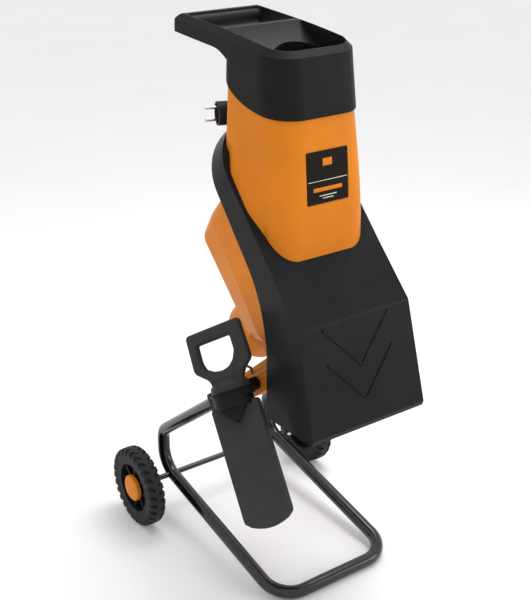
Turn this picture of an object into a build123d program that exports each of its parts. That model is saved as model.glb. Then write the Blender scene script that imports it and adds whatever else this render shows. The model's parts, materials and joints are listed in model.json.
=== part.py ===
from build123d import *

import os
from math import cos, hypot, radians, sin

# Electric wood chipper on a bent-tube frame with two wheels.
# Row frame: +X to the right seen from the discharge side, +Y to the rear, +Z up,
# origin on the floor under the middle of the bounding box. Millimetres.
# The front of the machine, with the discharge chute, faces -Y.

os.makedirs("parts", exist_ok=True)

# ---------------------------------------------------------------- driving dimensions
AXLE_Y = 165.8  # wheel axle behind the origin
AXLE_Z = 72.0
AXLE_R = 5.0
AXLE_HALF = 193.0

TUBE_R = 11.0
TUBE_WALL = 1.5
RAIL_X = 115.0
FRONT_BAR_Y = -335.0  # measured from the axle
REAR_BEND_Y = 29.0
UPRIGHT_FOOT_Z = 149.0
UPRIGHT_SLOPE = 39.0  # degrees above the floor
UPRIGHT_LENGTH = 336.0
FRONT_CORNER_R = 48.0
LOWER_BEND_R = 44.0
UPPER_BEND_R = 30.0

WHEEL_R = 72.0
WHEEL_WIDTH = 30.0
WHEEL_INNER_X = 170.0
RIM_R = 47.0
HUB_R = 14.0
CAP_R = 23.5
RUNNING_GAP = 0.08  # radial clearance of shafts in their bores

FLANGE_Y = -143.0  # a point on the joint plane between hood and motor housing
FLANGE_Z = 647.0
FLANGE_TILT = 41.4  # degrees the motor axis points below the horizon
ARCH_U = -4.0  # centre of the chamber arch, along the joint plane
ARCH_R = 104.0
HOOD_WALL = 3.0
CREASE_R = 12.0  # between the hood's slope and its front
LIP_HALF = 108.4  # half width at the outlet
LIP_TOP = (-399.4, 341)
LIP_FOOT = (-397, 333)
SLOPE_SUM = 851.0  # the hood's front slope is the plane z = y + SLOPE_SUM

SHELL_REAR = -118.0
SHELL_WALL = 3.0

CUTTER_U = 40.0  # cutter axis on the joint plane
DISC_R = 85.0
MOTOR_U = 175.0  # motor axis on the joint plane
MOTOR_CAN_R = 51.5
MOTOR_CAN_END = 224.0
DRIVE_PULLEY_R = 40.0
MOTOR_PULLEY_R = 10.4
BELT_GAP = 0.3
BELT_THICK = 3.0

HINGE_Y = -268.0
HINGE_Z = 311.0
HINGE_R = 3.0
LOCK_Y = -96.7
LOCK_Z = 699.5

INTERLOCK_X = 82.0
INTERLOCK_U = 60.0

PUSHER_X = -158.0
PUSHER_Y = -259.5
PUSHER_Z = 378.6
PUSHER_TILT = -4.0
PUSHER_TURN = 42.0
COLLAR_R = 31.0


def at(x, y, z):
    """A point given with y measured from the wheel axle."""
    return (x, AXLE_Y + y, z)


def save(piece, label):
    piece.label = label
    export_step(piece, f"parts/{label}.step")


# Sketch planes: SIDE holds (y from axle, z); FLANGE holds (x, distance down the joint).
SIDE = Plane(origin=(0, AXLE_Y, 0), x_dir=(0, 1, 0), z_dir=(1, 0, 0))
AXIS_DOWN = (0, cos(radians(FLANGE_TILT)), -sin(radians(FLANGE_TILT)))
FLANGE = Plane(origin=at(0, FLANGE_Y, FLANGE_Z), x_dir=(1, 0, 0), z_dir=AXIS_DOWN)
WHEEL_PLANE = Plane(origin=(0, AXLE_Y, AXLE_Z), x_dir=(1, 0, 0), z_dir=(0, 0, 1))
WHEEL_AXIS = Axis((0, AXLE_Y, AXLE_Z), (1, 0, 0))
MOTOR_AXIS = Axis(FLANGE.origin, FLANGE.z_dir)


def rod(y, z, x_from, x_to, radius):
    """A round bar along X, as a loose solid."""
    with BuildPart() as bar:
        with BuildSketch(SIDE.offset(x_from)):
            with Locations((y, z)):
                Circle(radius)
        extrude(amount=x_to - x_from)
    return bar.part


def turned(u, w_from, w_to, radius, bore=0.0, x=0.0):
    """A round piece along the motor axis at (x, u), from w_from to w_to."""
    with BuildPart() as piece:
        with BuildSketch(FLANGE.offset(w_from)):
            with Locations((x, u)):
                Circle(radius)
                if bore:
                    Circle(bore, mode=Mode.SUBTRACT)
        extrude(amount=w_to - w_from)
    return piece.part


# ---------------------------------------------------------------- frame
up_y = -UPRIGHT_LENGTH * cos(radians(UPRIGHT_SLOPE))
up_z = UPRIGHT_LENGTH * sin(radians(UPRIGHT_SLOPE))
TOP_Y = REAR_BEND_Y + up_y
TOP_Z = UPRIGHT_FOOT_Z + up_z
rail_rise = (AXLE_Z - TUBE_R) / -FRONT_BAR_Y
REAR_BEND_Z = AXLE_Z + rail_rise * REAR_BEND_Y

BOLT_Y = TOP_Y + 12 * cos(radians(UPRIGHT_SLOPE))
BOLT_Z = TOP_Z - 12 * sin(radians(UPRIGHT_SLOPE))
BOLT_R = 4.0
BRACKET_HALF = 85.0
BRACKET_RIB = 0.8

left_path = [
    at(-RAIL_X, TOP_Y, TOP_Z),
    at(-RAIL_X, REAR_BEND_Y, UPRIGHT_FOOT_Z),
    at(-RAIL_X, REAR_BEND_Y, REAR_BEND_Z),
    at(-RAIL_X, FRONT_BAR_Y, TUBE_R),
]
right_path = [(-x, y, z) for x, y, z in reversed(left_path)]
bend_radii = [UPPER_BEND_R, LOWER_BEND_R, FRONT_CORNER_R]

with BuildPart() as frame_tube:
    with BuildLine() as tube_line:
        FilletPolyline(*left_path, *right_path, radius=bend_radii + bend_radii[::-1])
    with BuildSketch(Plane(origin=tube_line.line @ 0, z_dir=tube_line.line % 0)):
        Circle(TUBE_R)
        Circle(TUBE_R - TUBE_WALL, mode=Mode.SUBTRACT)
    sweep()
    add(rod(0, AXLE_Z, -140, 140, AXLE_R + RUNNING_GAP), mode=Mode.SUBTRACT)
    add(rod(BOLT_Y, BOLT_Z, -140, 140, BOLT_R + RUNNING_GAP), mode=Mode.SUBTRACT)
save(frame_tube.part, "frame_tube")

with BuildPart() as tube_end_caps:
    for side in (-1, 1):
        end = at(side * RAIL_X, TOP_Y, TOP_Z)
        out = (0, up_y, up_z)
        with BuildSketch(Plane(origin=end, z_dir=out)):
            Circle(TUBE_R)
        extrude(amount=3)
        with BuildSketch(Plane(origin=end, z_dir=out)):
            Circle(TUBE_R - TUBE_WALL)
        extrude(amount=-5)
save(tube_end_caps.part, "tube_end_caps")

with BuildPart() as axle:
    add(rod(0, AXLE_Z, -AXLE_HALF, AXLE_HALF, AXLE_R))
    chamfer(axle.edges().filter_by(GeomType.CIRCLE), length=0.8)
save(axle.part, "axle")

with BuildPart() as frame_bolts:
    for side in (-1, 1):
        with BuildSketch(SIDE.offset(side * (RAIL_X + TUBE_R))):
            with Locations((BOLT_Y, BOLT_Z)):
                RegularPolygon(7.5, 6)
        extrude(amount=side * 5.5)
        add(rod(BOLT_Y, BOLT_Z, side * 62, side * (RAIL_X + TUBE_R), BOLT_R))
save(frame_bolts.part, "frame_bolts")

KNURLS = 16
with BuildPart() as frame_bushes:
    for side in (-1, 1):
        with BuildSketch(SIDE.offset(side * (BRACKET_HALF + BRACKET_RIB))):
            with Locations((BOLT_Y, BOLT_Z)):
                Circle(10.5)
                Circle(BOLT_R + RUNNING_GAP, mode=Mode.SUBTRACT)
                with PolarLocations(10.5, KNURLS):
                    Circle(1.1, mode=Mode.SUBTRACT)
        extrude(amount=side * (RAIL_X - TUBE_R - BRACKET_HALF - BRACKET_RIB))
save(frame_bushes.part, "frame_bushes")

# ---------------------------------------------------------------- wheels
CAP_X = WHEEL_INNER_X + WHEEL_WIDTH


def wheel_ring(side, outline):
    """Turn a closed outline of (x, radius) points round the wheel axis."""
    with BuildPart() as ring:
        with BuildSketch(WHEEL_PLANE):
            with BuildLine():
                Polyline(*[(side * x, r) for x, r in outline], close=True)
            make_face()
        revolve(axis=WHEEL_AXIS)
    return ring.part


TYRE_OUTLINE = [
    (WHEEL_INNER_X + 2, RIM_R),
    (WHEEL_INNER_X + 2, 58),
    (WHEEL_INNER_X, 62),
    (WHEEL_INNER_X, 68),
    (WHEEL_INNER_X + 5, WHEEL_R),
    (CAP_X - 5, WHEEL_R),
    (CAP_X, 68),
    (CAP_X, 62),
    (CAP_X - 2, 58),
    (CAP_X - 2, RIM_R),
]
RIM_OUTLINE = [
    (WHEEL_INNER_X + 2, RIM_R),
    (CAP_X - 2, RIM_R),
    (CAP_X - 2, RIM_R - 3),
    (WHEEL_INNER_X + 16, RIM_R - 6),
    (WHEEL_INNER_X + 16, CAP_R - 4),
    (CAP_X - 3, CAP_R - 4),
    (CAP_X - 3, HUB_R - 3),
    (CAP_X - 9, HUB_R - 3),
    (CAP_X - 9, AXLE_R + RUNNING_GAP),
    (WHEEL_INNER_X - 22, AXLE_R + RUNNING_GAP),
    (WHEEL_INNER_X - 22, HUB_R - 4),
    (WHEEL_INNER_X, HUB_R),
    (WHEEL_INNER_X + 8, HUB_R + 2),
    (WHEEL_INNER_X + 12, RIM_R - 6),
    (WHEEL_INNER_X + 2, RIM_R - 3),
]
CAP_OUTLINE = [
    (CAP_X - 3, 0),
    (CAP_X - 3, CAP_R - 4),
    (CAP_X - 6, CAP_R - 3.6),
    (CAP_X - 6, CAP_R),
    (CAP_X + 0.5, CAP_R),
    (CAP_X + 2.5, CAP_R - 3),
    (CAP_X + 3.5, 0),
]
SPOKES = 8

for side, hand in ((-1, "left"), (1, "right")):
    save(wheel_ring(side, TYRE_OUTLINE), f"tyre_{hand}")
    with BuildPart() as rim:
        add(wheel_ring(side, RIM_OUTLINE))
        spoke_plane = SIDE.offset(side * (WHEEL_INNER_X + 15.5))
        with BuildSketch(spoke_plane):
            with Locations((0, AXLE_Z)):
                with PolarLocations((RIM_R + CAP_R) / 2 - 2, SPOKES):
                    Rectangle(RIM_R - CAP_R, 4)
        extrude(amount=side * 8.3)
    save(rim.part, f"rim_{hand}")
    save(wheel_ring(side, CAP_OUTLINE), f"hub_cap_{hand}")

with BuildPart() as axle_washers:
    for side in (-1, 1):
        add(rod(0, AXLE_Z, side * 145.8, side * 147.4, 10))
        add(rod(0, AXLE_Z, side * 191.3, side * 192.3, 9))
    add(rod(0, AXLE_Z, -200, 200, AXLE_R), mode=Mode.SUBTRACT)
save(axle_washers.part, "axle_washers")

# ---------------------------------------------------------------- hood and chute
def hood_volume(inset, open_end):
    """The hood's outer shape, moved inwards by inset and run past its open ends."""
    with BuildPart() as volume:
        with BuildSketch(SIDE) as profile:
            with BuildLine():
                Polyline((-226, 553), (-65, 735.5), (-92, 759))
                Polyline((-92, 759), (-352, 499), LIP_TOP, LIP_FOOT)
                Polyline(LIP_FOOT, (-292, 326), (-281, 320), (-277, 428))
                ThreePointArc((-277, 428), (-260, 496), (-226, 553))
            make_face()
            crease = profile.vertices().sort_by_distance(Vector(-352, 499))[:1]
            fillet(crease, radius=CREASE_R)
            if inset:
                offset(amount=-inset, kind=Kind.INTERSECTION)
            if open_end:
                with BuildLine():
                    Polyline((-278, 345), (-280, 300), (-391.5, 300), (-395.2, 344), close=True)
                make_face()
                with BuildLine():
                    Polyline((-224, 549), (-246, 575), (-80, 748), (-40, 730), close=True)
                make_face()
        extrude(amount=130, both=True)
        with BuildSketch(FLANGE.offset(-250)):
            with BuildLine():
                reach = ARCH_R - inset
                Polyline((-reach, ARCH_U), (-reach, 150), (-LIP_HALF + inset, 392))
                Polyline((-LIP_HALF + inset, 392), (-LIP_HALF + inset, 460))
                Polyline((-LIP_HALF + inset, 460), (LIP_HALF - inset, 460))
                Polyline((LIP_HALF - inset, 460), (LIP_HALF - inset, 392))
                Polyline((LIP_HALF - inset, 392), (reach, 150), (reach, ARCH_U))
                ThreePointArc((reach, ARCH_U), (0, ARCH_U - reach), (-reach, ARCH_U))
            make_face()
        extrude(amount=500, mode=Mode.INTERSECT)
    return volume.part


def shell_volume(inset):
    """The feed shell's outer shape between the chamber and the hopper."""
    sections = [
        (540, -276, 88, 40),
        (655, -280, 84.5, 44),
        (760, -268, 80, 46),
        (868, -250, 77, 40),
    ]
    with BuildPart() as volume:
        for level, front, half, corner in sections:
            middle = (front + SHELL_REAR) / 2
            with BuildSketch(Plane.XY.offset(level)) as section:
                with Locations((0, AXLE_Y + middle)):
                    Rectangle(2 * (half - inset), SHELL_REAR - front - 2 * inset)
                front_corners = section.vertices().group_by(Axis.Y)[0]
                fillet(front_corners, radius=corner - inset)
                rear_corners = section.vertices().group_by(Axis.Y)[-1]
                fillet(rear_corners, radius=22 - inset)
        loft()
    return volume.part


def side_prism(points, half):
    """A closed outline of (y, z) points, extruded half to each side of the middle."""
    with BuildPart() as prism:
        with BuildSketch(SIDE):
            with BuildLine():
                Polyline(*points, close=True)
            make_face()
        extrude(amount=half, both=True)
    return prism.part


LOCK_ARM = hypot(LOCK_Y - HINGE_Y, LOCK_Z - HINGE_Z)
LOCK_DIR = (0, (LOCK_Z - HINGE_Z) / LOCK_ARM, -(LOCK_Y - HINGE_Y) / LOCK_ARM)
LOCK = Plane(origin=at(0, LOCK_Y, LOCK_Z), x_dir=(1, 0, 0), z_dir=LOCK_DIR)
LOCK_R = 4.0


def lock_round(start, end, radius):
    with BuildPart() as piece:
        with BuildSketch(LOCK.offset(start)):
            Circle(radius)
        extrude(amount=end - start)
    return piece.part


FRONT_FACE = Plane(origin=at(0, -352, 499), x_dir=(1, 0, 0), z_dir=(0, -150, 45))
RIB_WIDTH = 4.5
shell_outer = shell_volume(0)

with BuildPart() as hood:
    add(hood_volume(0, False))
    add(hood_volume(HOOD_WALL, True), mode=Mode.SUBTRACT)
    add(shell_outer, mode=Mode.SUBTRACT)
    for tip, reach in ((-78, 62), (-130, 62)):
        with BuildSketch(FRONT_FACE.offset(-1)):
            with BuildLine():
                Polyline(
                    (-reach, tip + 68),
                    (0, tip),
                    (reach, tip + 68),
                    (reach, tip + 68 + RIB_WIDTH),
                    (0, tip + RIB_WIDTH),
                    (-reach, tip + 68 + RIB_WIDTH),
                    close=True,
                )
            make_face()
        extrude(amount=3)
    for side in (-1, 1):
        add(rod(HINGE_Y, HINGE_Z, side * 46, side * 58, 8))
        with BuildSketch(SIDE.offset(side * 46)):
            with BuildLine():
                Polyline(
                    (HINGE_Y - 3, HINGE_Z - 7.4),
                    (-283, 318),
                    (-281.5, 352),
                    (-278.5, 352),
                    (HINGE_Y - 4, HINGE_Z + 6.8),
                    close=True,
                )
            make_face()
        extrude(amount=side * 12)
    add(rod(HINGE_Y, HINGE_Z, -70, 70, HINGE_R + RUNNING_GAP), mode=Mode.SUBTRACT)
    add(lock_round(-24, -1.2, 9.5))
    with BuildSketch(FLANGE.offset(-21)):
        with Locations((0, ARCH_U - ARCH_R + 19)):
            Rectangle(8, 34)
    extrude(amount=20)
    with BuildSketch(FLANGE.offset(-7)):
        with Locations((INTERLOCK_X + 8, INTERLOCK_U)):
            Rectangle(26, 12)
    extrude(amount=6.5)
    add(lock_round(-30, 10, LOCK_R + 0.6), mode=Mode.SUBTRACT)
save(hood.part, "hood")

# ---------------------------------------------------------------- feed shell
SHELL_DEPTH = 15.0  # how far the shell reaches below the hood's front slope
below_shell = [
    (-60, SLOPE_SUM - SHELL_DEPTH - 60),
    (-320, SLOPE_SUM - SHELL_DEPTH - 320),
    (-320, 480),
    (-60, 480),
]
LABEL_PLANE = Plane(origin=at(0, -277.2, 694), x_dir=(1, 0, 0), z_dir=(0, -1, 0.09))

with BuildPart() as feed_shell:
    add(shell_outer)
    add(shell_volume(SHELL_WALL), mode=Mode.SUBTRACT)
    add(side_prism(below_shell, 120), mode=Mode.SUBTRACT)
    add(side_prism([(-60, 836), (-320, 836), (-320, 900), (-60, 900)], 120), mode=Mode.SUBTRACT)
    with BuildSketch(LABEL_PLANE.offset(-1.5)):
        RectangleRounded(77.5, 80.5, 3)
    extrude(amount=12, mode=Mode.SUBTRACT)
save(feed_shell.part, "feed_shell")

with BuildPart() as label_plate:
    with BuildSketch(LABEL_PLANE.offset(-1.5)):
        RectangleRounded(75, 78, 2)
    extrude(amount=1.2)
save(label_plate.part, "label_plate")

# ---------------------------------------------------------------- hopper with carrying handle
COLLAR_WALL = 2.5
RIM_REAR = (-35, 889)
RIM_FRONT = (-258, 873)
RIM_BEVEL = 9.5
SMILE = [
    (-320, 777),
    (-262, 780),
    (-222, 783),
    (-190, 787),
    (-164, 794),
    (-142, 805),
    (-124, 820),
    (-108, 838),
]
ARM_UNDER = [(-31, 861), (-79, 859), (-113, 855), (-130, 847), (-150, 830)]
ARM_HALF = 79.5
FUNNEL_FLOOR = 4.0
GRIP_R = 12.5
GRIP_Y = 0.0
GRIP_Z = 875.5
CAVITY_HALF = 69.0
HANDLE_HALF = 68.5  # half width of the opening in front of the grip bar
HANDLE_OPENING = (-102.5, -3.0)
THROAT_X = 26.0  # the feed opening lies to the right of the cutter's axis
THROAT_HALF = 41.5
THROAT_WALL = 2.5
THROAT_GAP = 0.25
COLLAR_SECTIONS = ((760, -268, 80, 46), (868, -250, 77, 40), (900, -246, 76, 38))


def collar_volume():
    """The black collar round the shell's top, a wall thicker than the shell."""
    with BuildPart() as volume:
        for level, front, half, corner in COLLAR_SECTIONS:
            middle = (front + SHELL_REAR) / 2
            with BuildSketch(Plane.XY.offset(level)) as section:
                with Locations((0, AXLE_Y + middle)):
                    Rectangle(2 * (half + COLLAR_WALL), SHELL_REAR - front + 2 * COLLAR_WALL)
                fillet(section.vertices().group_by(Axis.Y)[0], radius=corner + COLLAR_WALL)
                fillet(section.vertices().group_by(Axis.Y)[-1], radius=22 + COLLAR_WALL)
        loft(ruled=True)
    return volume.part


with BuildPart() as above_rim:
    with BuildSketch(SIDE):
        with BuildLine():
            ThreePointArc(RIM_REAR, (-150, 883.4), RIM_FRONT)
            Polyline(RIM_FRONT, (-330, 864), (-330, 960), (40, 960), (40, 892.6), RIM_REAR)
        make_face()
    extrude(amount=120, both=True)

with BuildPart() as above_smile:
    with BuildSketch(SIDE):
        with BuildLine():
            Spline(*SMILE)
            Polyline(SMILE[-1], (-60, 900), (-320, 900), SMILE[0])
        make_face()
    extrude(amount=120, both=True)

with BuildPart() as collar:
    add(collar_volume())
    add(above_smile.part, mode=Mode.INTERSECT)
    add(above_rim.part, mode=Mode.SUBTRACT)
    chamfer(collar.faces().sort_by(Axis.Z)[-1].edges(), length=RIM_BEVEL)

with BuildPart() as handle:
    with BuildSketch(SIDE):
        with BuildLine():
            Polyline((-150, 895), (4, 895), (4, 891))
            ThreePointArc((4, 891), (11, 887), (14, 880))
            Polyline((14, 880), (20, 867))
            ThreePointArc((20, 867), (18, 864), (12, 863))
            Polyline((12, 863), *ARM_UNDER[:2])
            Spline(*ARM_UNDER[1:], tangents=((-1, -0.03), (-0.5, -1)))
            Polyline(ARM_UNDER[-1], (-150, 895))
        make_face()
    extrude(amount=90, both=True)
    with BuildSketch(Plane.XY.offset(800)) as plan:
        with BuildLine():
            Polyline((-ARM_HALF, AXLE_Y - 152), (-ARM_HALF, AXLE_Y + 24), (ARM_HALF, AXLE_Y + 24))
            Polyline((ARM_HALF, AXLE_Y + 24), (ARM_HALF, AXLE_Y - 152), (-ARM_HALF, AXLE_Y - 152))
        make_face()
        fillet(plan.vertices().group_by(Axis.Y)[-1], radius=14)
    extrude(amount=120, mode=Mode.INTERSECT)
    add(above_rim.part, mode=Mode.SUBTRACT)
    with BuildSketch(Plane(origin=at(0, -150, 883.4), x_dir=(1, 0, 0), z_dir=(0, 154, 7.6)).offset(-10)):
        for side in (-1, 1):
            outer = side * (ARM_HALF + 1)
            inner = side * (ARM_HALF - RIM_BEVEL - 1)
            with BuildLine():
                Polyline((inner, -1), (outer, -1), (outer, RIM_BEVEL + 1), close=True)
            make_face()
    extrude(amount=210, mode=Mode.SUBTRACT)

with BuildPart() as cavity:
    with BuildSketch(SIDE):
        with BuildLine():
            ThreePointArc((-105, 893), (-140, 863), (-196, 845))
            Polyline((-196, 845), (-243, 843), (-243, 930), (-105, 930), (-105, 893))
        make_face()
    extrude(amount=CAVITY_HALF, both=True)
    fillet(cavity.edges().filter_by(Axis.Z).group_by(Axis.Y)[0], radius=32)

with BuildPart() as below_floor:
    with BuildSketch(SIDE):
        with BuildLine():
            Polyline((-110, 400), (-110, 876 - FUNNEL_FLOOR))
            ThreePointArc((-110, 876 - FUNNEL_FLOOR), (-142, 861 - FUNNEL_FLOOR), (-196, 845 - FUNNEL_FLOOR))
            Polyline((-196, 845 - FUNNEL_FLOOR), (-300, 842 - FUNNEL_FLOOR), (-300, 400), (-110, 400))
        make_face()
    extrude(amount=120, both=True)

with BuildPart() as under:
    add(shell_outer)
    add(below_floor.part, mode=Mode.INTERSECT)


def throat_tube(bottom, top, wall):
    """The feed opening, square at the front and arched at the rear, grown by wall."""
    with BuildPart() as tube:
        with BuildSketch(Plane.XY.offset(bottom)) as outline:
            with BuildLine():
                shoulder = AXLE_Y - 158
                front = AXLE_Y - 232
                left = THROAT_X - THROAT_HALF
                right = THROAT_X + THROAT_HALF
                Polyline((left, shoulder), (left, front), (right, front), (right, shoulder))
                ThreePointArc((right, shoulder), (THROAT_X, shoulder + 16), (left, shoulder))
            make_face()
            fillet(outline.vertices().group_by(Axis.Y)[0], radius=26)
            if wall:
                offset(amount=wall, kind=Kind.INTERSECTION)
        extrude(amount=top - bottom)
    return tube.part


with BuildPart() as hopper:
    add(collar.part)
    add(handle.part)
    with BuildSketch(Plane.XY.offset(840)):
        with Locations((0, AXLE_Y + sum(HANDLE_OPENING) / 2)):
            RectangleRounded(2 * HANDLE_HALF, HANDLE_OPENING[1] - HANDLE_OPENING[0], 9)
    extrude(amount=80, mode=Mode.SUBTRACT)
    add(rod(GRIP_Y, GRIP_Z, -HANDLE_HALF - 2, HANDLE_HALF + 2, GRIP_R))
    add(cavity.part, mode=Mode.SUBTRACT)
    add(under.part, mode=Mode.SUBTRACT)
    add(throat_tube(820, 900, 0), mode=Mode.SUBTRACT)
save(hopper.part, "hopper")

with BuildPart() as feed_throat:
    add(throat_tube(480, 868, THROAT_WALL))
    add(throat_tube(480, 868, 0), mode=Mode.SUBTRACT)
    add(Pos(0, 0, -THROAT_GAP) * below_floor.part, mode=Mode.INTERSECT)
    with BuildSketch(FLANGE.offset(-28)):
        with Locations((0, 100)):
            Rectangle(300, 500)
    extrude(amount=200, mode=Mode.SUBTRACT)
save(feed_throat.part, "feed_throat")

# ---------------------------------------------------------------- motor housing and bracket
PLATE_START = 1.0  # gap between hood and motor housing, along the motor axis
PLATE_END = 7.0
HOUSING_WALL = 3.0
RIDGE_W = 73.0  # the widest line round the housing's rear half
HOUSING_END = 125.0
PLATE_SIZE = (156, 164)
PLATE_U = 41.0


def box_level(w, inset, half_top, half_bottom, u_top, u_bottom, corner):
    """One rounded cross-section of the motor housing, moved inwards by inset."""
    top = u_top + inset
    bottom = u_bottom - inset
    wide = half_top - inset
    narrow = half_bottom - inset
    with BuildSketch(FLANGE.offset(w)) as level:
        with BuildLine():
            Polyline((-wide, top), (wide, top), (narrow, bottom), (-narrow, bottom), close=True)
        make_face()
        fillet(level.vertices(), radius=corner - inset)
    return level.sketch


def can_volume(inset, start):
    """The round motor end, with a rounded rear rim."""
    with BuildPart() as can:
        add(turned(MOTOR_U, start, MOTOR_CAN_END - inset, MOTOR_CAN_R - inset))
        fillet(can.faces().sort_by(MOTOR_AXIS)[-1].edges(), radius=12 - inset)
    return can.part


def housing_volume(inset, start):
    """The motor housing's outer shape, moved inwards by inset, from w = start back."""
    with BuildPart() as volume:
        add(box_level(start, inset, 90, 90, -18, 238, 38))
        add(box_level(RIDGE_W, inset, 88, 88, -5, 234, 28))
        loft()
        add(box_level(RIDGE_W, inset, 88, 88, -5, 234, 28))
        add(box_level(HOUSING_END - inset, inset, 82.5, 71, 5, 214, 27))
        loft()
        add(can_volume(inset, start))
    return volume.part


bearing_seat = turned(MOTOR_U, 192, 222, 14)
with BuildPart() as motor_housing:
    add(housing_volume(0, PLATE_START))
    add(housing_volume(HOUSING_WALL, PLATE_END), mode=Mode.SUBTRACT)
    with BuildSketch(FLANGE.offset(PLATE_START)):
        with BuildLine():
            rim = ARCH_R - 5
            Polyline((-rim, ARCH_U), (-rim, 140), (rim, 140), (rim, ARCH_U))
            ThreePointArc((rim, ARCH_U), (0, ARCH_U - rim), (-rim, ARCH_U))
        make_face()
    extrude(amount=PLATE_END - PLATE_START)
    with BuildSketch(FLANGE.offset(PLATE_START - 5)):
        with Locations((0, PLATE_U)):
            RectangleRounded(*PLATE_SIZE, 18)
    extrude(amount=PLATE_END - PLATE_START + 5, mode=Mode.SUBTRACT)
    add(bearing_seat)
    add(turned(MOTOR_U, 191, 206, 8.5), mode=Mode.SUBTRACT)
    for angle in range(0, 360, 90):
        with BuildSketch(FLANGE.offset(118)):
            with Locations((0, MOTOR_U)):
                with PolarLocations(46.2, 1, start_angle=angle + 45):
                    Rectangle(6.2, 4)
        extrude(amount=66)
    for row in range(5):
        with BuildSketch(FLANGE.offset(80)):
            with Locations((0, 52 + 14 * row)):
                SlotOverall(84, 5)
        extrude(amount=60, mode=Mode.SUBTRACT)
    with BuildSketch(FLANGE.offset(214)):
        with Locations((0, MOTOR_U)):
            with PolarLocations(29, 12):
                SlotOverall(20, 4.5)
    extrude(amount=20, mode=Mode.SUBTRACT)
    add(turned(INTERLOCK_U, PLATE_START, PLATE_END, 2.6, x=INTERLOCK_X), mode=Mode.SUBTRACT)
    add(lock_round(-24, 0.5, 10), mode=Mode.SUBTRACT)
    add(lock_round(2, 26, 11))
    add(lock_round(-20, 40, LOCK_R + RUNNING_GAP), mode=Mode.SUBTRACT)
    for x in (-70, 70):
        add(turned(200, 60, 122, 7, x=x), mode=Mode.ADD)
        add(turned(200, 40, 130, 2.6, x=x), mode=Mode.SUBTRACT)
        add(turned(200, 84, 130, 4.6, x=x), mode=Mode.SUBTRACT)
    add(hood_volume(-1, False), mode=Mode.SUBTRACT)
save(motor_housing.part, "motor_housing")

with BuildPart() as lower_bracket:
    with BuildSketch(FLANGE.offset(56)) as block:
        with Locations((0, 270)):
            Rectangle(2 * BRACKET_HALF, 42)
    extrude(amount=110)
    rear = lower_bracket.edges().filter_by(Axis.X).sort_by(Axis.Z)[:1]
    fillet(rear, radius=10)
    with BuildSketch(FLANGE.offset(56)):
        with Locations((0, 240)):
            Rectangle(2 * BRACKET_HALF - 30, 24)
    extrude(amount=44)
    with BuildSketch(FLANGE.offset(50)):
        with Locations((0, 270)):
            Rectangle(2 * BRACKET_HALF - 8, 34)
    extrude(amount=112, mode=Mode.SUBTRACT)
    for x in (-60, -20, 20, 60):
        with BuildSketch(FLANGE.offset(58)):
            with Locations((x, 270)):
                Rectangle(3, 36)
        extrude(amount=106)
    for u in (256, 264, 272, 280):
        with BuildSketch(FLANGE.offset(62)):
            with Locations((0, u)):
                Rectangle(2 * (BRACKET_HALF + BRACKET_RIB), 1.6)
        extrude(amount=96)
    for side in (-1, 1):
        add(rod(BOLT_Y, BOLT_Z, side * 58, side * (BRACKET_HALF + BRACKET_RIB), 9))
        with BuildSketch(SIDE.offset(side * 60)):
            with BuildLine():
                Polyline((-274, 380), (-240, 366), (-256, 318), (-260, 303), (-276, 303), close=True)
            make_face()
        extrude(amount=side * 11)
    add(rod(BOLT_Y, BOLT_Z, -110, 110, BOLT_R + RUNNING_GAP), mode=Mode.SUBTRACT)
    add(rod(HINGE_Y, HINGE_Z, -90, 90, HINGE_R), mode=Mode.SUBTRACT)
    add(hood_volume(-1, False), mode=Mode.SUBTRACT)
    add(housing_volume(0, PLATE_START), mode=Mode.SUBTRACT)
save(lower_bracket.part, "lower_bracket")

save(rod(HINGE_Y, HINGE_Z, -73, 73, HINGE_R), "hinge_pin")

with BuildPart() as housing_screws:
    for x in (-70, 70):
        add(turned(200, 78, 84, 2.6, x=x))
        add(turned(200, 84, 87, 4.6, x=x))
save(housing_screws.part, "housing_screws")

with BuildPart() as lock_knob:
    with BuildSketch(LOCK.offset(28)):
        Circle(17)
        with PolarLocations(18.5, 6):
            Circle(5)
    extrude(amount=14)
    fillet(lock_knob.faces().sort_by(Axis(LOCK.origin, LOCK.z_dir))[-1].edges(), radius=2)
    add(lock_round(26.3, 28, 9))
    add(lock_round(-20, 36, LOCK_R), mode=Mode.SUBTRACT)
save(lock_knob.part, "lock_knob")

with BuildPart() as lock_screw:
    add(lock_round(-19, 36, LOCK_R))
    chamfer(lock_screw.edges().filter_by(GeomType.CIRCLE).sort_by(Axis.Y)[:1], length=1)
save(lock_screw.part, "lock_screw")

# ---------------------------------------------------------------- drive: plate, shafts, belt, bearings
BEARING_R = 15.0
SHAFT_R = 8.0
ARMATURE_R = 5.0
BELT_START = 15.0
BELT_END = 27.0
BRIDGE_START = 31.0
BRIDGE_END = 40.0

POSTS = ((-58, 6), (58, 6), (-58, 110), (58, 110))

with BuildPart() as motor_plate:
    with BuildSketch(FLANGE.offset(PLATE_START)):
        with Locations((0, PLATE_U)):
            RectangleRounded(*PLATE_SIZE, 18)
        with Locations((0, CUTTER_U)):
            Circle(BEARING_R, mode=Mode.SUBTRACT)
    extrude(amount=PLATE_END - PLATE_START)
    for x, u in POSTS:
        add(turned(u, PLATE_END, BRIDGE_START, 6, x=x))
save(motor_plate.part, "motor_plate")

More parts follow.
